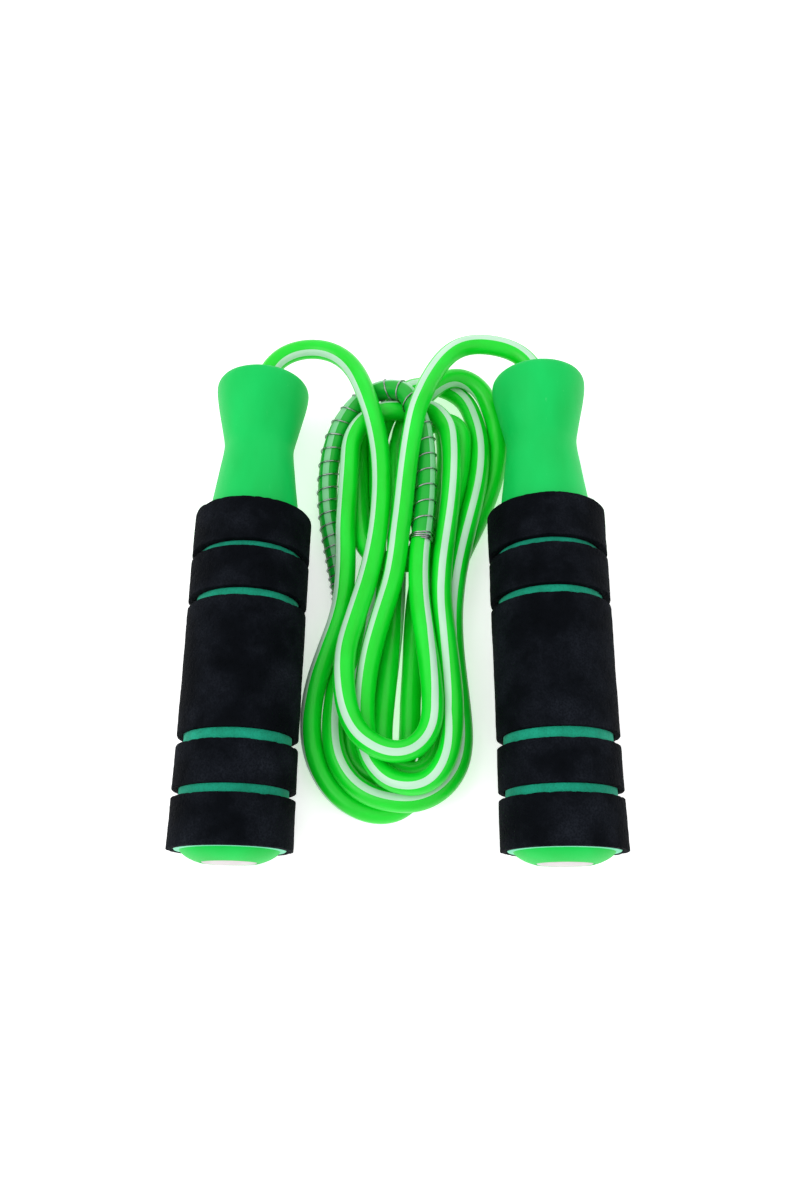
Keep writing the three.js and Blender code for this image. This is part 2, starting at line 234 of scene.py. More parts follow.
def hank_route():
    """The whole route from the left handle to the right one, and where its parts begin. The
    doubled cord is wound one way round, so beyond its fold the turns run the other way."""
    striped = turn(STRIPED_TURN, shoulder_x(INNER_TURN, "left"))
    inner = turn(INNER_TURN, shoulder_x(FOLD, "left"))
    fold = turn(FOLD)
    fold_over = bend(shoulder_x(FOLD, "right"), shoulder_x(BACK_TURN, "right"), SHOULDER,
                     FOLD["top"], (OUTSIDE_POWER, OUTSIDE_POWER))
    back = turn(BACK_TURN)
    back_over = bend(shoulder_x(BACK_TURN, "left"), shoulder_x(OUTER_TURN, "right"), SHOULDER,
                     OUTER_TURN["top"], (INSIDE_POWER, OUTSIDE_POWER))
    outer = turn(OUTER_TURN)
    outer_over = bend(shoulder_x(OUTER_TURN, "left"), RIGHT_LEAD[-1][0], LAST_OVER_LEVEL,
                      LAST_OVER_TIP, (OUTSIDE_POWER, OUTSIDE_POWER))
    out_of_spring = [p for p in striped[0] if p[1] < UNDER_SPRING]
    parts = [
        ("left_lead", LEFT_LEAD),
        ("spring", SPRING_PART),
        ("striped", out_of_spring + striped[1] + striped[2] + striped[3]),
        ("inner", inner[0] + inner[1] + inner[2] + inner[3]),
        ("fold", fold[0] + fold[1] + fold[2] + fold_over),
        ("back", back[2][::-1] + back[1][::-1] + back[0][::-1] + back_over),
        ("outer", outer[2][::-1] + outer[1][::-1] + outer[0][::-1] + outer_over),
        ("right_lead", RIGHT_LEAD[::-1]),
    ]
    points, starts = [], {}
    for name, part in parts:
        starts[name] = len(points)
        points += part
    return points, starts


def spaced_curve(points, step):
    """A centripetal Catmull-Rom curve through the points, at even steps, and how far along
    it each given point is."""
    p = np.array(points, float)
    ends = np.vstack([2 * p[0] - p[1], p, 2 * p[-1] - p[-2]])
    fine, marks = [], []
    total = 0.0
    last = None
    for i in range(1, len(p)):
        p0, p1, p2, p3 = ends[i - 1:i + 3]
        t1 = np.linalg.norm(p1 - p0) ** 0.5
        t2 = t1 + np.linalg.norm(p2 - p1) ** 0.5
        t3 = t2 + np.linalg.norm(p3 - p2) ** 0.5
        t = np.linspace(t1, t2, 12, endpoint=False)[:, None]
        a1 = (t1 - t) / t1 * p0 + t / t1 * p1
        a2 = (t2 - t) / (t2 - t1) * p1 + (t - t1) / (t2 - t1) * p2
        a3 = (t3 - t) / (t3 - t2) * p2 + (t - t2) / (t3 - t2) * p3
        b1 = (t2 - t) / t2 * a1 + t / t2 * a2
        b2 = (t3 - t) / (t3 - t1) * a2 + (t - t1) / (t3 - t1) * a3
        part = (t2 - t) / (t2 - t1) * b1 + (t - t1) / (t2 - t1) * b2
        if last is not None:
            total += np.linalg.norm(part[0] - last)
        marks.append(total)
        total += np.linalg.norm(np.diff(part, axis=0), axis=1).sum()
        last = part[-1]
        fine.append(part)
    fine.append(p[-1:])
    marks.append(total + np.linalg.norm(p[-1] - last))
    fine = np.vstack(fine)
    travel = np.r_[0, np.cumsum(np.linalg.norm(np.diff(fine, axis=0), axis=1))]
    count = int(round(travel[-1] / step)) + 1
    even = np.linspace(0, travel[-1], count)
    curve = np.stack([np.interp(even, travel, fine[:, k]) for k in range(3)], 1)
    return curve, np.array(marks) / travel[-1]


# ---- settling the cord ------------------------------------------------------------------
NODE_STEP = 0.0035
SETTLE_STEPS = 420
SLOWER_FROM, CLOSING_FROM = 0.6, 0.8     # shares of the steps
FALLS = (0.00035, 0.0001, 0.00003)       # how far it drops in a step: first, slower, closing
DRAWN_BACK = (0.22, 0.04)         # how much it is drawn to the laid route: first, closing
STIFFNESS = ((1, 0.10), (3, 0.12))       # (nodes to each side, how much they straighten it)
CURVE_KEPT = 0.9                  # how much of the laid route's own curve counts as straight
CONTACT_REACH = 0.013             # strands further apart than this aren't compared
TIGHT_BEND = 0.009                # nodes on one bend of this radius don't push each other
CROWD_SHARE = 0.6                 # how much many contacts on one node weaken each other
HELD_X, HELD_Y = 0.0494, 0.1645   # the cord is held still in the mouths of the handles
HANDLE_PROFILE = ((0.109, 0.0145), (0.1365, 0.01205), (0.147, 0.0138), (0.159, 0.0163),
                  (0.163, 0.016))


def push_apart(x, first, second, reach, held):
    """Moves every pair of nodes that are nearer than their reach apart."""
    between = x[second] - x[first]
    distance = np.linalg.norm(between, axis=1)
    near = distance < reach
    i, j = first[near], second[near]
    part = between[near] / distance[near][:, None] * (0.5 * (reach - distance)[near])[:, None]
    count = np.bincount(i, minlength=len(x)) + np.bincount(j, minlength=len(x))
    for k in range(3):
        move = (np.bincount(j, part[:, k], len(x)) - np.bincount(i, part[:, k], len(x)))
        move = move / np.maximum(1, CROWD_SHARE * count)
        move[held] = 0
        x[:, k] += move


def clear_of_handles(x, radius, held):
    """Keeps the cord outside the two handles and above the floor."""
    along = [a for a, _ in HANDLE_PROFILE]
    size = [r for _, r in HANDLE_PROFILE]
    for side in SIDES:
        offset = x[:, [0, 2]] - np.array([AXIS_X[side], AXIS_Z])
        distance = np.linalg.norm(offset, axis=1)
        limit = np.where(x[:, 1] < along[0], GRIP_RADIUS, np.interp(x[:, 1], along, size))
        limit = limit + radius + HANDLE_GAP
        inside = (distance < limit) & (x[:, 1] < MOUTH) & ~held
        x[inside, 0] += (offset[inside, 0] / distance[inside]) * (limit - distance)[inside]
        x[inside, 2] += (offset[inside, 1] / distance[inside]) * (limit - distance)[inside]
    x[:, 2] = np.maximum(x[:, 2], radius)


def settle(laid, radius):
    """Lets the laid cord drop and come to rest on the floor and on itself."""
    x = laid.copy()
    count = len(x)
    rest = np.linalg.norm(np.diff(x, axis=0), axis=1).mean()
    held = (np.abs(x[:, 0]) > HELD_X) & (x[:, 1] < HELD_Y)
    order = np.arange(count)
    neighbours = int(math.ceil(math.pi * TIGHT_BEND / NODE_STEP))
    free = (~held).astype(float)[:, None]
    for step in range(SETTLE_STEPS):
        share = step / SETTLE_STEPS
        closing = share > CLOSING_FROM
        fall = FALLS[0] if share < SLOWER_FROM else FALLS[2 if closing else 1]
        x[:, 2] -= fall * free[:, 0]
        x[:, :2] += DRAWN_BACK[int(closing)] * free * (laid[:, :2] - x[:, :2])
        if step % 8 == 0:
            apart = ((x[:, None, :] - x[None, :, :]) ** 2).sum(-1)
            first, second = np.nonzero(np.triu(apart < CONTACT_REACH ** 2, neighbours))
            reach = radius[first] + radius[second]
        for _ in range(4):
            for width, stiffness in STIFFNESS:
                lean = np.zeros_like(x)
                lean[width:-width] = 0.5 * (x[:-2 * width] + x[2 * width:]) - x[width:-width]
                laid_lean = np.zeros_like(x)
                laid_lean[width:-width] = (0.5 * (laid[:-2 * width] + laid[2 * width:])
                                           - laid[width:-width])
                laid_lean[:, 2] = 0
                x += stiffness * free * (lean - CURVE_KEPT * laid_lean)
            for parity in (0, 1):
                a = order[parity:-1:2]
                b = a + 1
                link = x[b] - x[a]
                length = np.linalg.norm(link, axis=1, keepdims=True)
                fix = (length - rest) / length * link
                shared = free[a] + free[b]
                shared[shared == 0] = 1
                x[a] += fix * free[a] / shared
                x[b] -= fix * free[b] / shared
            for _ in range(3 if closing else 1):
                push_apart(x, first, second, reach, held)
            clear_of_handles(x, radius, held)
            x[held] = laid[held]
    return x


def cord_centre():
    """The settled route of the cord, the share of it at which each laid point lies, and which
    point begins each of its parts."""
    points, starts = hank_route()
    laid, marks = spaced_curve(points, NODE_STEP)
    share = np.linspace(0, 1, len(laid))
    spring_from = marks[starts["spring"] - 1]
    spring_to = marks[starts["striped"]]
    radius = np.full(len(laid), CORD_RADIUS + CORD_GAP)
    radius[(share > spring_from) & (share < spring_to)] += 2 * WIRE_RADIUS
    return settle(laid, radius), marks, starts


centre, route_marks, part_starts = cord_centre()

# ---- the cord as a piece ----------------------------------------------------------------
RING_STEP = 0.0012
RING_SIDES = 28
STRIPE_HALF = math.radians(25)
# (part of the route, share along it, degrees from the top of the cord to the middle of its
# pale stripe, positive towards the right-hand side of somebody going that way)
STRIPE_LAY = [
    ("left_lead", 0.0, 60), ("left_lead", 0.24, 55), ("left_lead", 0.34, 42),
    ("left_lead", 0.58, 38), ("left_lead", 0.68, 15), ("left_lead", 0.78, 12),
    ("left_lead", 0.86, 38), ("left_lead", 1.0, 46), ("spring", 0.3, 46),
    ("spring", 0.6, 12), ("spring", 1.0, -6), ("striped", 0.15, -20),
    ("striped", 0.5, 0), ("striped", 0.7, 5), ("inner", 0.0, 0), ("inner", 0.3, 0),
    ("inner", 0.45, 180), ("fold", 0.9, 180), ("back", 0.3, 180), ("back", 0.58, 62),
    ("back", 0.85, 60), ("outer", 0.0, 130), ("outer", 0.3, 180), ("outer", 0.44, 270),
    ("outer", 0.56, 312), ("outer", 0.9, 318), ("right_lead", 0.0, 345),
    ("right_lead", 0.14, 360), ("right_lead", 0.27, 388), ("right_lead", 0.37, 334),
    ("right_lead", 0.5, 324), ("right_lead", 0.72, 328), ("right_lead", 0.82, 346),
    ("right_lead", 1.0, 346),
]
CORD_SLOT, STRIPE_SLOT = 0, 1     # material slots of the cord
UNEVEN_THICKNESS = 0.006
SPRING_SHADE_EDGE = 0.004                 # over which the painted shade of the spring's wire on the cord fades in where the spring begins


def mesh_piece(name, points, faces, materials, face_slots=None, crease=40):
    """A smooth-shaded mesh object, with edges sharper than crease degrees kept sharp."""
    mesh = bpy.data.meshes.new(name)
    mesh.from_pydata([tuple(p) for p in points], [], faces)
    mesh.shade_smooth()
    mesh.set_sharp_from_angle(angle=math.radians(crease))
    for material in materials:
        mesh.materials.append(material)
    if face_slots is not None:
        mesh.polygons.foreach_set("material_index", face_slots)
    mesh.update()
    piece = bpy.data.objects.new(name, mesh)
    bpy.context.scene.collection.objects.link(piece)
    return piece


def add_pattern(piece, values):
    """Keeps a point for every vertex, for the piece's materials to draw their pattern at."""
    pattern = piece.data.attributes.new("pattern", "FLOAT_VECTOR", "POINT")
    pattern.data.foreach_set("vector", np.asarray(values, np.float32).ravel())


def part_share(part, share):
    """How far along the whole route a share of one of its parts is."""
    names = list(part_starts)
    at = names.index(part)
    begin = route_marks[part_starts[part]]
    end = (route_marks[part_starts[names[at + 1]]] if at + 1 < len(names) else 1.0)
    return begin + (end - begin) * share


def side_axes(line):
    """Direction, right-hand side and upper side at each point of a line that lies flat."""
    ahead = np.gradient(line, axis=0)
    ahead /= np.linalg.norm(ahead, axis=1, keepdims=True)
    right = np.cross(ahead, np.array([0.0, 0.0, 1.0]))
    right /= np.linalg.norm(right, axis=1, keepdims=True)
    return ahead, right, np.cross(right, ahead)


def tube_faces(rings, sides):
    """The faces of a tube of rings, and of its two ends."""
    faces = [(r * sides + k, r * sides + (k + 1) % sides,
              (r + 1) * sides + (k + 1) % sides, (r + 1) * sides + k)
             for r in range(rings - 1) for k in range(sides)]
    return faces + [tuple(range(sides))[::-1],
                    tuple(range((rings - 1) * sides, rings * sides))]


def smoothed(line, passes):
    """The line with its small kinks worn down, its ends kept."""
    line = line.copy()
    for _ in range(passes):
        line[2:-2] += 0.3 * (0.5 * (line[1:-3] + line[3:-1]) - line[2:-2])
    return line


cord_line, _ = spaced_curve(smoothed(centre, 3), RING_STEP)
cord_line[:, 1] += REAR
cord_travel = np.r_[0, np.cumsum(np.linalg.norm(np.diff(cord_line, axis=0), axis=1))]
cord_share = cord_travel / cord_travel[-1]


def make_cord():
    """The whole cord as one tube, with the pale stripe along it."""
    ahead, right, above = side_axes(cord_line)
    at = [part_share(part, share) for part, share, _ in STRIPE_LAY]
    stripe = np.radians(np.interp(cord_share, at, [angle for _, _, angle in STRIPE_LAY]))
    around = 2 * math.pi * (np.arange(RING_SIDES) + 0.5) / RING_SIDES
    points, pattern = [], []
    for i, place in enumerate(cord_line):
        travel = cord_travel[i]
        thickness = CORD_RADIUS * (1 + UNEVEN_THICKNESS
                                   * noise.noise((travel * 90, 0.3, 0)))
        for angle in around:
            place_round = angle + stripe[i]
            points.append(place + thickness * (math.sin(place_round) * right[i]
                                               + math.cos(place_round) * above[i]))
            pattern.append((CORD_RADIUS * math.cos(angle), CORD_RADIUS * math.sin(angle),
                            travel))
    faces = tube_faces(len(cord_line), RING_SIDES)
    middle = np.minimum(around + math.pi / RING_SIDES, 2 * math.pi)
    in_stripe = np.minimum(middle, 2 * math.pi - middle) < STRIPE_HALF
    slots = [STRIPE_SLOT if in_stripe[k] else CORD_SLOT for _ in range(len(cord_line) - 1)
             for k in range(RING_SIDES)] + [CORD_SLOT, CORD_SLOT]
    cord = mesh_piece("cord", points, faces, [GREEN_CORD, PALE_STRIPE], slots, 60)
    add_pattern(cord, pattern)
    # painted shade: how far each ring lies inside the spring, so the cord can be darkened there as
    # the wire's shadow would darken it
    under_spring = np.clip(np.minimum(
        cord_share - route_marks[part_starts["spring"] - 1],
        part_share("striped", 0.0) - cord_share) * cord_travel[-1] / SPRING_SHADE_EDGE, 0, 1)
    spring_shade = cord.data.attributes.new("spring_shade", "FLOAT", "POINT")
    spring_shade.data.foreach_set("value", np.repeat(under_spring, RING_SIDES).astype(np.float32))
    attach(cord, "rope")
    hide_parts("left_lead", "right_lead", "spring_cord", "cord_hank")


# ---- the wear spring --------------------------------------------------------------------
WIRE_SIDES = 10
SPRING_SHORT = 0.004              # how far before the next part of the route it ends
TURN_STEPS = 26
CROWDING = 0.18                   # how much closer its turns are towards its far end
CROWDING_POWER = 4
CLOSE_PITCH = 2.15                # of the closed turns, in radii of the wire
TURN_LEAN = 0.12                  # how much the turns lean, as a share of their radius
SLACK, WANDER = 0.00007, 0.0004   # unevenness of the turns' radius and of their spacing
CUT_END = 0.55                    # the wire's thickness at its cut ends


def at_travel(values, travel):
    """One of the cord's lists of vectors at some distance along it."""
    return np.array([np.interp(travel, cord_travel, values[:, k]) for k in range(3)])


def make_spring():
    """The wear spring, wound round the settled cord."""
    start = route_marks[part_starts["spring"] - 1] * cord_travel[-1]
    end = part_share("striped", 0.0) * cord_travel[-1] - SPRING_SHORT
    _, right, above = side_axes(cord_line)
    radius = CORD_RADIUS + WIRE_CLEARANCE + WIRE_RADIUS
    close_pitch = CLOSE_PITCH * WIRE_RADIUS
    open_length = end - start - 2 * (CLOSE_TURNS * close_pitch)
    open_turns = round(open_length / SPRING_PITCH)
    turns = 2 * CLOSE_TURNS + open_turns
    line = []
    for i in range(turns * TURN_STEPS + 1):
        wound = i / TURN_STEPS
        opened = min(max(wound - CLOSE_TURNS, 0), open_turns) / open_turns
        crowded = opened - CROWDING * opened ** CROWDING_POWER
        travel = (start + close_pitch * min(wound, CLOSE_TURNS)
                  + open_length * crowded / (1 - CROWDING)
                  + close_pitch * max(wound - CLOSE_TURNS - open_turns, 0))
        loose = min(1.0, (wound / CLOSE_TURNS) ** 2, ((turns - wound) / CLOSE_TURNS) ** 2)
        angle = 2 * math.pi * wound
        slack = SLACK * noise.noise((wound * 0.8, 1.7, 0)) * loose
        travel += (TURN_LEAN * radius * math.cos(angle) * loose
                   + WANDER * noise.noise((wound * 0.37, 4.1, 0)) * loose)
        out = (math.sin(angle) * at_travel(right, travel)
               + math.cos(angle) * at_travel(above, travel))
        line.append(at_travel(cord_line, travel) + (radius + slack) * out)
    line = np.array(line)
    ahead = np.gradient(line, axis=0)
    ahead /= np.linalg.norm(ahead, axis=1, keepdims=True)
    middle = np.stack([np.convolve(np.pad(line[:, k], TURN_STEPS // 2, mode="edge"),
                                   np.ones(TURN_STEPS + 1) / (TURN_STEPS + 1), "valid")
                       for k in range(3)], 1)[:len(line)]
    outward = line - middle
    outward -= (outward * ahead).sum(1, keepdims=True) * ahead
    outward /= np.linalg.norm(outward, axis=1, keepdims=True)
    across = np.cross(ahead, outward)
    points, pattern = [], []
    for i, place in enumerate(line):
        rounded_end = CUT_END if i in (0, len(line) - 1) else 1.0
        for k in range(WIRE_SIDES):
            angle = 2 * math.pi * k / WIRE_SIDES
            out = math.cos(angle) * outward[i] + math.sin(angle) * across[i]
            points.append(place + WIRE_RADIUS * rounded_end * out)
            pattern.append((math.cos(angle), math.sin(angle), i / TURN_STEPS))
    spring = mesh_piece("spring_wire", points, tube_faces(len(line), WIRE_SIDES),
                        [SPRING_STEEL])
    add_pattern(spring, pattern)
    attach(spring, "rope")
    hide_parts("wear_spring")


# ---- turned pieces of the handles -------------------------------------------------------
CORNER_POINTS = 5                 # on a rounded corner


def rounded(corners):
    """The closed outline through (radius, along, rounding) corners, their corners rounded."""
    outline = []
    for i, (radius, along, rounding) in enumerate(corners):
        here = np.array((radius, along))
        if rounding == 0:
            outline.append((radius, along))
            continue
        before = np.array(corners[i - 1][:2]) - here
        after = np.array(corners[(i + 1) % len(corners)][:2]) - here
        before /= np.linalg.norm(before)
        after /= np.linalg.norm(after)
        half = 0.5 * math.acos(max(-1.0, min(1.0, float(before @ after))))
        reach = rounding / math.tan(half)
        for k in range(CORNER_POINTS):
            share = k / (CORNER_POINTS - 1)
            outline.append(tuple((1 - share) ** 2 * (here + before * reach)
                                 + 2 * share * (1 - share) * here
                                 + share ** 2 * (here + after * reach)))
    return outline


def turned(name, side, outline, materials, segments=128, shape=None, slot_of=None,
           crease=40):
    """A piece turned round a handle's axis from a closed outline of (radius, along), in
    metres. A point at radius 0 is on the axis. shape(point, angle, radius, along) may move
    a vertex, and slot_of(radius, along) chooses a face's material."""
    axis = np.array([AXIS_X[side], 0.0, AXIS_Z])
    points, pattern, rows = [], [], []
    for radius, along in outline:
        count = 1 if radius < 1e-6 else segments
        rows.append(list(range(len(points), len(points) + count)))
        for k in range(count):
            angle = 2 * math.pi * k / segments
            point = axis + np.array([radius * math.sin(angle), REAR + along,
                                     radius * math.cos(angle)])
            if shape:
                point = shape(point, angle, radius, along)
            points.append(point)
            pattern.append((radius, along, 0.002 * angle))
    faces, slots = [], []
    for i, row in enumerate(rows):
        following = rows[(i + 1) % len(rows)]
        if len(row) == 1 and len(following) == 1:
            continue
        (r0, a0), (r1, a1) = outline[i], outline[(i + 1) % len(rows)]
        slot = slot_of((r0 + r1) / 2, (a0 + a1) / 2) if slot_of else 0
        for k in range(segments):
            m = (k + 1) % segments
            if len(row) == 1:
                faces.append((row[0], following[m], following[k]))
            elif len(following) == 1:
                faces.append((row[k], row[m], following[0]))
            else:
                faces.append((row[k], row[m], following[m], following[k]))
            slots.append(slot)
    piece = mesh_piece(name, points, faces, materials, slots, crease)
    add_pattern(piece, pattern)
    return piece


def fitted(piece, body, slot, *nodes):
    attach(piece, body)
    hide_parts(*nodes)
    return piece


def curve_outline(points, step=0.0008):
    """A smooth line through (radius, along) points."""
    line, _ = spaced_curve([(r, a, 0.0) for r, a in points], step)
    return [(float(r), float(a)) for r, a, _ in line]


# The green handle: (radius, along) of its outside from the mouth to the grip, and the
# (radius, along, rounding) corners of its inside.
FLARE = [(0.0163, 0.1592), (0.0160, 0.1568), (0.0153, 0.1530), (0.0142, 0.1480),
         (0.0130, 0.1425), (0.01235, 0.1393), (0.0121, 0.1368), (0.0123, 0.1335),
         (0.0129, 0.1285), (0.0138, 0.1210), (0.0147, 0.1140), (0.0153, 0.1093)]
LIP = [(0.0127, 0.1625), (0.0146, 0.1625), (0.0154, 0.16235), (0.0160, 0.1617),
       (0.0163, 0.1607)]
INSIDE = [(0.0153, 0.10905, 0), (0.0145, 0.1089, 0), (0.0145, 0.0023, 0),
          (0.0124, 0.0023, 0.0003), (0.0124, 0.114, 0), (0.0100, 0.122, 0),
          (0.0100, 0.149, 0), (0.0090, 0.151, 0), (0.0090, 0.1551, 0.0002),
          (0.0113, 0.1551, 0.0002), (0.0113, 0.1618, 0), (0.0119, 0.1625, 0)]
# where the foam bands begin and end
BAND_EDGES = [(0.0, 0.0148), (0.0174, 0.0304), (0.0337, 0.0751), (0.0780, 0.0917),
              (0.0941, 0.1090)]
BAND_INNER = 0.0170
FRONT_SWELL = 0.0007              # the foam is this much thicker at its front end
BAND_RIM = 0.00022                # rounding of its cut edges
FOAM_SUNK = 0.00022
FOAM_UNEVEN = ((0.00012, 110), (0.00007, 420), (0.00006, 1300))    # (height, how fine)
FOAM_RAGGED = ((0.00034, 190), (0.00020, 620))
RAGGED_REACH = 0.0022             # how far in from its ends a band is ragged
LOWEST = 0.00002                  # the foam is flat where it rests on the floor
LINER_OUTER, LINER_INNER = 0.0167, 0.0148
BEARING_OUTER, BEARING_LAND, BEARING_REAR = 0.0110, 0.0090, 0.1554


def make_grip(side, body):
    """The handle's shell, the liner on it and the foam bands on that."""
    shell = turned(f"{side}_handle_shell", side,
                   (curve_outline(LIP + FLARE) + rounded(INSIDE))[::-1], [HANDLE_PLASTIC],
                   shape=moulded, crease=50)
    fitted(shell, body, "green_plastic", f"{side}_handle_body")

    liner = rounded([(LINER_OUTER, 0.0023, 0.0002), (LINER_OUTER, 0.1086, 0.0002),
                     (LINER_INNER, 0.1086, 0.0002), (LINER_INNER, 0.0023, 0.0002)])
    rows = [(LINER_OUTER, 0.0030 + 0.001 * k) for k in range(105)]
    liner = liner[:CORNER_POINTS] + rows + liner[CORNER_POINTS:]
    fitted(turned(f"{side}_liner_tube", side, liner, [GREEN_FOAM], shape=soft_liner),
           body, "green_foam", f"{side}_grip_liner")

    for number, (begin, end) in enumerate(BAND_EDGES, 1):
        band = fitted(foam_band(side, number, begin, end), body, "black_foam",
                      f"{side}_grip_band_{number}")


def make_cap(side, body):
    """The end cap, a shallow dome with a pale edge, and the blank disc let into it."""
    dome = curve_outline([(0.0088, -0.00345), (0.0103, -0.0030), (0.0120, -0.0023),
                          (0.0134, -0.0015), (0.0144, -0.0007), (0.0148, -0.0002)], 0.0006)
    cap = ([(0.0, -0.0024), (0.0060, -0.0024), (0.0084, -0.0024), (0.0086, -0.0026),
            (0.0086, -0.0033)] + dome
           + rounded([(0.0149, 0.0, 0), (0.0164, 0.0, 0.0002), (0.0167, 0.0003, 0.0002),
                      (0.0167, 0.0020, 0.0002), (0.0121, 0.0020, 0.0001),
                      (0.0121, 0.0130, 0.0004), (0.0104, 0.0130, 0.0002),
                      (0.0104, 0.0006, 0)]) + [(0.0, 0.0006)])
    fitted(turned(f"{side}_cap", side, cap, [CAP_PLASTIC, CAP_EDGE], crease=35,
                  slot_of=lambda r, a: int(r > 0.0149 and a < 0.0019)),
           body, "green_plastic", f"{side}_end_cap")
    button = curve_outline([(0.0, -0.00375), (0.0026, -0.00373), (0.0052, -0.00365),
                            (0.0078, -0.0035)], 0.0005)
    button[0] = (0.0, button[0][1])
    button += [(0.0082, -0.0033), (0.0083, -0.0030), (0.0083, -0.0027), (0.0, -0.0027)]
    fitted(turned(f"{side}_cap_button", side, button, [PALE_DISC], crease=60), body,
           "pale_disc", f"{side}_cap_disc")


def make_bearing(side, body):
    """The bearing's outer race and shield, which turn with the handle, and the rope's bush."""
    race = rounded([(BEARING_OUTER, BEARING_REAR, 0.0003), (BEARING_OUTER, 0.1614, 0.0003),
                    (BEARING_LAND, 0.1614, 0.00015), (BEARING_LAND, BEARING_REAR, 0.00015)])
    groove = [(BEARING_LAND + 0.00085 * math.sin(math.pi * k / 12),
               0.1584 + 0.00155 * math.cos(math.pi * k / 12)) for k in range(13)]
    race = race[:3 * CORNER_POINTS] + groove + race[3 * CORNER_POINTS:]
    fitted(turned(f"{side}_race_ring", side, race, [BEARING_STEEL], crease=35), body,
           "bearing_steel", f"{side}_bearing_outer_race")
    shield = rounded([(0.0077, 0.1617, 0.0001), (0.0082, 0.1617, 0.0002),
                      (0.0086, 0.1618, 0), (0.0101, 0.1618, 0), (0.0105, 0.1617, 0.0002),
                      (0.0110, 0.1617, 0.0001), (0.0110, 0.1621, 0.0001),
                      (0.0104, 0.1621, 0.0002), (0.0100, 0.1622, 0), (0.0087, 0.1622, 0),
                      (0.0083, 0.1621, 0.0002), (0.0077, 0.1621, 0.0001)])
    fitted(turned(f"{side}_shield_ring", side, shield, [BEARING_STEEL], crease=35), body,
           "bearing_steel", f"{side}_bearing_shield")
    bush = rounded([(0.0038, BEARING_REAR, 0.0004), (0.0050, BEARING_REAR, 0.0002),
                    (0.0050, 0.1617, 0), (0.0070, 0.1617, 0.0001), (0.0070, 0.1629, 0.0005),
                    (0.0038, 0.1629, 0.0004)])
    fitted(turned(f"{side}_bush_ring", side, bush, [WHITE_NYLON], 96), "rope",
           "white_nylon", f"{side}_rope_bush")


def moulded(point, angle, radius, along):
    """The slight unevenness of a moulded surface."""
    if along < 0.1085 or radius < 0.0115:
        return point
    uneven = 0.00005 * noise.noise((point[0] * 130, point[1] * 130, point[2] * 130))
    out = np.array([math.sin(angle), 0.0, math.cos(angle)])
    return point + uneven * out


def soft_liner(point, angle, radius, along):
    """The unevenness of the liner's outside."""
    if radius < 0.0165:
        return point
    uneven = (0.00012 * noise.noise((point[0] * 260, point[1] * 500, point[2] * 260))
              - 0.00008)
    return point + uneven * np.array([math.sin(angle), 0.0, math.cos(angle)])


def foam_band(side, number, begin, end):
    """A band of the foam grip. Its surface is uneven and its cut ends are ragged."""
    flat = end - begin - 2 * BAND_RIM
    rows = int(flat / 0.0008)
    outline = rounded([(GRIP_RADIUS, begin, BAND_RIM), (GRIP_RADIUS, end, BAND_RIM),
                       (BAND_INNER, end, 0.0002), (BAND_INNER, begin, 0.0002)])
    outer = [(GRIP_RADIUS, begin + BAND_RIM + flat * k / rows) for k in range(1, rows)]
    outline = outline[:CORNER_POINTS] + outer + outline[CORNER_POINTS:]

    def shape(point, angle, radius, along):
        if radius < BAND_INNER + 0.0003:
            return point
        x, y, z = point
        out = np.array([math.sin(angle), 0.0, math.cos(angle)])
        uneven = sum(height * noise.noise((x * fine, y * fine, z * fine))
                     for height, fine in FOAM_UNEVEN) - FOAM_SUNK
        uneven += FRONT_SWELL * ease(0, 1, (along - 0.03) / 0.08)
        edge = max(0.0, 1 - min(along - begin, end - along) / RAGGED_REACH)
        toward = 1 if along - begin > end - along else -1
        ragged = sum(height * noise.noise((x * fine, toward + number, z * fine))
                     for height, fine in FOAM_RAGGED)
        ragged = min(ragged, 0.0) * 1.2 - 0.00002
        moved = point + uneven * out + np.array([0.0, toward * ragged * edge, 0.0])
        moved[2] = max(moved[2], LOWEST)
        return moved

    return turned(f"{side}_foam_band_{number}", side, outline, [BLACK_FOAM], 192, shape,
                  crease=60)


# ---- materials --------------------------------------------------------------------------
def colour(red, green, blue):
    """A colour given as it looks on a screen, 0 to 255, as the shader needs it."""
    linear = [(c / 255 / 12.92) if c / 255 <= 0.04045 else ((c / 255 + 0.055) / 1.055) ** 2.4
              for c in (red, green, blue)]
    return (*linear, 1.0)


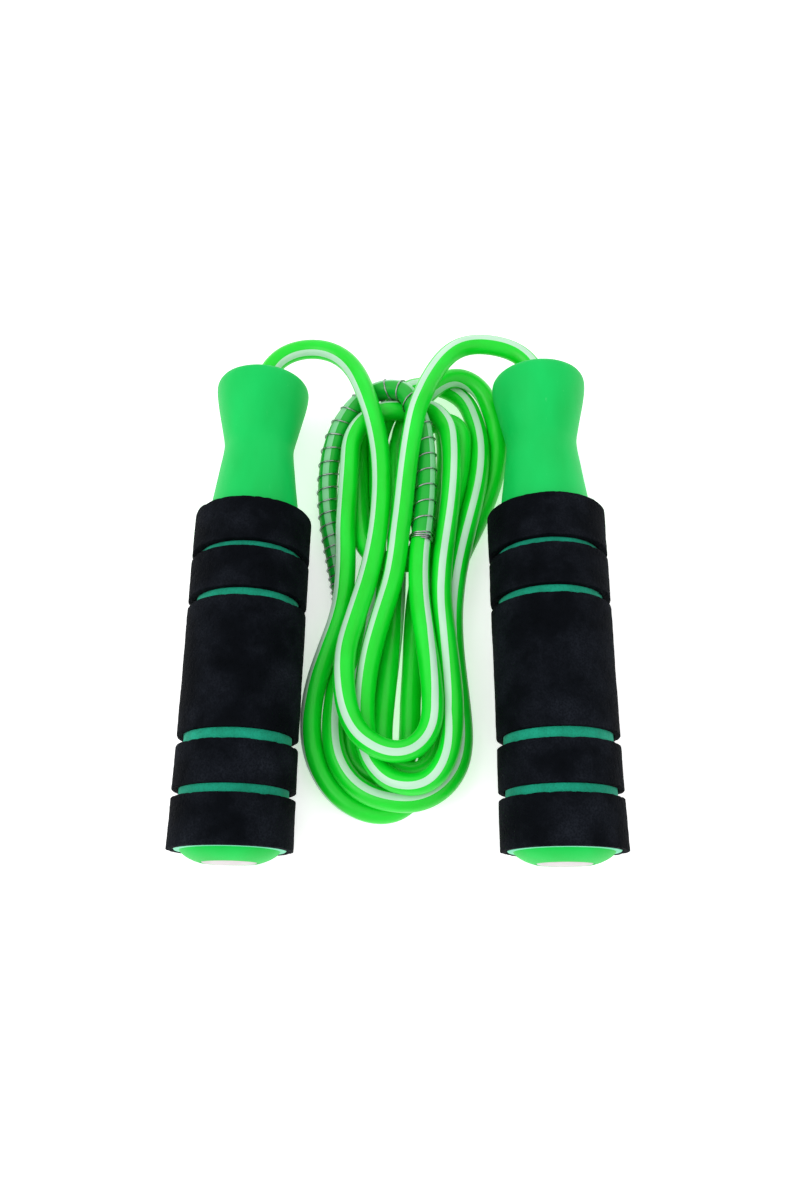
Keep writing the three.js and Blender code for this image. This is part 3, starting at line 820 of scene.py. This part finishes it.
class Surface:
    """A node material that is being built."""

    def __init__(self, name, constants):
        self.material = bpy.data.materials.new(name)
        self.material.use_nodes = True
        self.tree = self.material.node_tree
        self.shader = self.tree.nodes["Principled BSDF"]
        for socket, value in constants.items():
            self.shader.inputs[socket].default_value = value

    def node(self, kind, settings=(), **inputs):
        made = self.tree.nodes.new("ShaderNode" + kind)
        for key, value in dict(settings).items():
            setattr(made, key, value)
        for key, value in inputs.items():
            self.feed(made.inputs[key.replace("_", " ")], value)
        return made

    def feed(self, socket, value):
        if isinstance(value, bpy.types.NodeSocket):
            self.tree.links.new(value, socket)
        else:
            socket.default_value = value

    def place(self):
        """The point in the piece that is shaded."""
        return self.node("TexCoord").outputs["Object"]

    def pattern(self):
        """The point that add_pattern kept for it."""
        return self.node("Attribute", {"attribute_name": "pattern"}).outputs["Vector"]

    def attribute(self, name):
        return self.node("Attribute", {"attribute_name": name}).outputs["Fac"]

    def stretched(self, source, x, y, z):
        scaled = self.node("VectorMath", {"operation": "MULTIPLY"})
        self.feed(scaled.inputs[0], source)
        scaled.inputs[1].default_value = (x, y, z)
        return scaled.outputs[0]

    def grain(self, source, scale, detail=3.0, roughness=0.5):
        return self.node("TexNoise", Vector=source, Scale=scale, Detail=detail,
                         Roughness=roughness).outputs["Fac"]

    def cells(self, source, scale):
        return self.node("TexVoronoi", Vector=source, Scale=scale).outputs["Distance"]

    def levels(self, value, low, high, to_low=0.0, to_high=1.0):
        """The value with low to high spread over to_low to to_high."""
        made = self.node("MapRange", {"clamp": True})
        for socket, given in zip(("Value", "From Min", "From Max", "To Min", "To Max"),
                                 (value, low, high, to_low, to_high)):
            self.feed(made.inputs[socket], given)
        return made.outputs["Result"]

    def maths(self, operation, first, second):
        made = self.node("Math", {"operation": operation})
        self.feed(made.inputs[0], first)
        self.feed(made.inputs[1], second)
        return made.outputs[0]

    def mixed(self, share, first, second):
        made = self.node("Mix", {"data_type": "RGBA"})
        self.feed(made.inputs[0], share)
        self.feed(made.inputs[6], first)
        self.feed(made.inputs[7], second)
        return made.outputs[2]

    def clouded(self, value, dark, light):
        """Dark where a noise value is low, to light where it is high."""
        return self.mixed(self.levels(value, 0.3, 0.7), dark, light)

    def bumps(self, height, distance, strength=1.0, under=None):
        made = self.node("Bump", Height=height, Distance=distance, Strength=strength)
        if under is not None:
            self.feed(made.inputs["Normal"], under)
        return made.outputs["Normal"]

    def finish(self, **links):
        for key, value in links.items():
            self.feed(self.shader.inputs[key.replace("_", " ")], value)
        return self.material


CORD_GLOSS = {"Coat Weight": 0.12, "Coat Roughness": 0.2, "Specular IOR Level": 0.35}


def green_cord():
    """Soft glossy PVC: cloudy colour, drawn lines along it, a few scuffs and painted shade where
    the spring's wire covers it.
    """
    s = Surface("green_cord", CORD_GLOSS)
    cloudy = s.grain(s.stretched(s.pattern(), 1, 1, 0.25), 260, 4)
    lines = s.grain(s.stretched(s.pattern(), 1, 1, 0.015), 2600, 2)
    scuffs = s.levels(s.grain(s.stretched(s.pattern(), 1, 1, 0.4), 900, 5, 0.65), 0.62, 0.74)
    base = s.clouded(cloudy, colour(0, 206, 26), colour(2, 224, 44))
    base = s.mixed(s.maths("MULTIPLY", scuffs, 0.25), base, colour(60, 225, 95))
    # painted shade: the cord is darkened where the spring's wire covers it
    base = s.mixed(s.maths("MULTIPLY", s.attribute("spring_shade"), 0.6), base, colour(6, 130, 48))
    rough = s.levels(cloudy, 0.3, 0.7, 0.30, 0.42)
    rough = s.maths("ADD", rough, s.maths("MULTIPLY", scuffs, 0.2))
    normal = s.bumps(lines, 0.00005, 0.5)
    normal = s.bumps(cloudy, 0.0001, 0.4, normal)
    return s.finish(Base_Color=base, Roughness=rough, Normal=normal)


def pale_stripe():
    """The stripe moulded along the cord, which fades into the green at its edges."""
    s = Surface("pale_stripe", CORD_GLOSS)
    cloudy = s.grain(s.stretched(s.pattern(), 1, 1, 0.25), 260, 4)
    lines = s.grain(s.stretched(s.pattern(), 1, 1, 0.015), 2600, 2)
    edge = s.node("SeparateXYZ", Vector=s.pattern()).outputs["X"]
    edge = s.levels(edge, CORD_RADIUS * 0.895, CORD_RADIUS * 0.945)
    base = s.clouded(cloudy, colour(176, 222, 190), colour(196, 234, 206))
    base = s.mixed(edge, colour(80, 215, 110), base)
    # painted shade: the stripe is darkened where the spring's wire covers it
    base = s.mixed(s.maths("MULTIPLY", s.attribute("spring_shade"), 0.6), base, colour(60, 190, 100))
    normal = s.bumps(lines, 0.00005, 0.5)
    return s.finish(Base_Color=base, Roughness=s.levels(cloudy, 0.3, 0.7, 0.3, 0.42),
                    Normal=normal)


def handle_plastic(name, dark, light):
    """Satin moulded plastic: a fine spark-eroded grain, flow clouds and small scratches."""
    s = Surface(name, {"Specular IOR Level": 0.18})
    clouds = s.grain(s.stretched(s.place(), 1, 0.35, 1), 70, 3)
    speckle = s.grain(s.place(), 2600, 2)
    scratches = s.levels(s.grain(s.stretched(s.place(), 9, 1, 9), 160, 6, 0.7), 0.66, 0.72)
    base = s.clouded(clouds, dark, light)
    base = s.mixed(s.maths("MULTIPLY", scratches, 0.14), base, colour(150, 245, 180))
    rough = s.levels(speckle, 0.3, 0.7, 0.46, 0.58)
    rough = s.maths("ADD", rough, s.maths("MULTIPLY", scratches, 0.12))
    normal = s.bumps(speckle, 0.00004, 0.35)
    normal = s.bumps(clouds, 0.0006, 0.12, normal)
    return s.finish(Base_Color=base, Roughness=rough, Normal=normal)


def black_foam():
    """Closed-cell foam: cut cells of different sizes, a little dust and painted sheen on what
    stands up.
    """
    s = Surface("black_foam", {"Specular IOR Level": 0.04})
    place = s.place()
    cells = s.cells(place, 1900)
    large = s.levels(s.cells(place, 700), 0.0, 0.5)
    patches = s.grain(place, 60, 5, 0.6)
    # dust and painted sheen: lighter on the cells' raised walls where the patches are light
    dust_and_sheen = s.maths("MULTIPLY", s.levels(patches, 0.45, 0.75), s.levels(cells, 0.2, 0.8))
    base = s.clouded(patches, colour(3, 5, 8), colour(15, 18, 24))
    base = s.mixed(s.maths("MULTIPLY", dust_and_sheen, 0.5), base, colour(42, 46, 54))
    normal = s.bumps(large, 0.0004, 0.7)
    normal = s.bumps(cells, 0.0002, 0.8, normal)
    return s.finish(Base_Color=base, Roughness=s.levels(patches, 0.3, 0.7, 0.82, 0.96),
                    Normal=normal)


def green_foam():
    """The dyed foam tube under the bands."""
    s = Surface("green_foam", {"Specular IOR Level": 0.2, "Sheen Weight": 0.1,
                               "Sheen Roughness": 0.5})
    place = s.place()
    cells = s.cells(place, 1700)
    patches = s.grain(place, 160, 4, 0.6)
    base = s.clouded(patches, colour(14, 152, 118), colour(30, 182, 146))
    # painted shade: darker towards the middle of each cell, in its pit
    base = s.mixed(s.levels(cells, 0.1, 0.6, 0.35, 0.0), base, colour(8, 112, 84))
    return s.finish(Base_Color=base, Roughness=s.levels(patches, 0.3, 0.7, 0.75, 0.9),
                    Normal=s.bumps(cells, 0.0002, 0.6))


def pale_disc():
    """A blank printed disc: paper-like fibres, which darken it a little in places."""
    s = Surface("pale_disc", {"Specular IOR Level": 0.4})
    fibres = s.grain(s.stretched(s.place(), 1, 1, 4), 900, 5, 0.6)
    patches = s.grain(s.place(), 240, 3)
    base = s.clouded(patches, colour(196, 188, 190), colour(214, 204, 206))
    base = s.mixed(s.levels(fibres, 0.35, 0.75, 0.0, 0.3), base, colour(176, 160, 166))
    return s.finish(Base_Color=base, Roughness=s.levels(fibres, 0.3, 0.7, 0.4, 0.6),
                    Normal=s.bumps(fibres, 0.00003, 0.4))


def metal(name, dark, light, rough, turned_marks=True):
    """Metal with marks round it from turning, and a mottled film of oil."""
    s = Surface(name, {"Metallic": 1.0})
    place = s.pattern() if turned_marks else s.place()
    marks = (s.grain(s.stretched(place, 1, 1, 0.02), 9000, 3, 0.6) if turned_marks
             else s.grain(s.stretched(place, 1, 0.3, 1), 5000, 3, 0.6))
    film = s.grain(s.place(), 420, 4, 0.6)
    base = s.clouded(film, dark, light)
    roughness = s.maths("ADD", s.levels(film, 0.3, 0.7, rough * 0.8, rough * 1.25),
                      s.levels(marks, 0.3, 0.7, -0.04, 0.06))
    return s.finish(Base_Color=base, Roughness=roughness,
                    Normal=s.bumps(marks, 0.00002, 0.4))


def nylon():
    """Slightly clouded white nylon."""
    s = Surface("white_nylon", {"Specular IOR Level": 0.4, "Subsurface Weight": 0.1,
                                "Subsurface Scale": 0.001})
    clouds = s.grain(s.place(), 300, 4)
    speckle = s.grain(s.place(), 3000, 2)
    base = s.clouded(clouds, colour(222, 221, 214), colour(238, 237, 231))
    return s.finish(Base_Color=base, Roughness=s.levels(speckle, 0.3, 0.7, 0.36, 0.5),
                    Normal=s.bumps(speckle, 0.00003, 0.3))


FLOOR_GLOW = 0.5


def pale_floor():
    """The top of a light table: it glows a little, so shadows on it stay pale."""
    s = Surface("pale_floor", {"Specular IOR Level": 0.1})
    paper = s.grain(s.place(), 600, 4)
    base = s.clouded(paper, colour(246, 246, 246), colour(250, 250, 250))
    s.shader.inputs["Emission Color"].default_value = (1, 1, 1, 1)
    s.shader.inputs["Emission Strength"].default_value = FLOOR_GLOW
    return s.finish(Base_Color=base, Roughness=s.levels(paper, 0.3, 0.7, 0.8, 0.9))


GREEN_CORD = green_cord()
PALE_STRIPE = pale_stripe()
HANDLE_PLASTIC = handle_plastic("green_plastic", colour(0, 184, 77), colour(4, 199, 90))
CAP_PLASTIC = handle_plastic("cap_plastic", colour(2, 186, 64), colour(8, 202, 80))
CAP_EDGE = handle_plastic("cap_edge", colour(92, 200, 158), colour(128, 218, 178))
BLACK_FOAM = black_foam()
GREEN_FOAM = green_foam()
PALE_DISC = pale_disc()
BEARING_STEEL = metal("bearing_steel", colour(176, 178, 182), colour(204, 206, 208), 0.22)
BALL_STEEL = metal("ball_steel", colour(190, 192, 196), colour(215, 216, 218), 0.12, False)
BRASS = metal("brass", colour(190, 150, 84), colour(208, 172, 104), 0.35, False)
SPRING_STEEL = metal("spring_steel", colour(138, 140, 142), colour(186, 187, 188), 0.26)
CRIMP_ALUMINIUM = metal("crimp_aluminium", colour(190, 192, 194), colour(212, 213, 214),
                        0.34, False)
WHITE_NYLON = nylon()

# ---- everything is made -----------------------------------------------------------------
make_cord()
make_spring()
for side in SIDES:
    make_grip(side, f"{side}_handle")
    make_cap(side, f"{side}_handle")
    make_bearing(side, f"{side}_handle")

KEPT_NODES = {
    "bearing_inner_race": BALL_STEEL, "bearing_cage": BRASS, "stop_washer": BALL_STEEL,
    "rope_stop": CRIMP_ALUMINIUM, **{f"bearing_ball_{n}": BALL_STEEL for n in range(1, 8)},
}
for side in SIDES:
    for node, material in KEPT_NODES.items():
        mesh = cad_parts[f"{side}_{node}"].data
        mesh.materials.clear()
        mesh.materials.append(material)

# ---- floor and light --------------------------------------------------------------------
FLOOR_HALF = 4.0
SKY = 0.97
LAMPS = [
    # name, place, size, watts
    ("key", (-0.75, -0.25, 1.1), 0.9, 4.6),
    ("fill", (0.9, -0.7, 1.0), 1.2, 0.7),
    ("back", (0.2, 1.1, 1.0), 1.0, 1.2),
]


def make_stage():
    corners = [(-FLOOR_HALF, -FLOOR_HALF, 0), (FLOOR_HALF, -FLOOR_HALF, 0),
               (FLOOR_HALF, FLOOR_HALF, 0), (-FLOOR_HALF, FLOOR_HALF, 0)]
    floor = mesh_piece("floor", corners, [(0, 1, 2, 3)], [pale_floor()])
    world = bpy.data.worlds.new("studio")
    world.use_nodes = True
    world.node_tree.nodes["Background"].inputs["Color"].default_value = (1, 1, 1, 1)
    world.node_tree.nodes["Background"].inputs["Strength"].default_value = SKY
    bpy.context.scene.world = world
    for name, place, size, power in LAMPS:
        lamp = bpy.data.lights.new(name, "AREA")
        lamp.shape = "DISK"
        lamp.size = size
        lamp.energy = power
        holder = bpy.data.objects.new(name, lamp)
        holder.location = place
        toward = Vector((0, 0, 0.02)) - Vector(place)
        holder.rotation_euler = toward.to_track_quat("-Z", "Y").to_euler()
        bpy.context.scene.collection.objects.link(holder)


make_stage()
bpy.context.scene.view_settings.view_transform = "Standard"
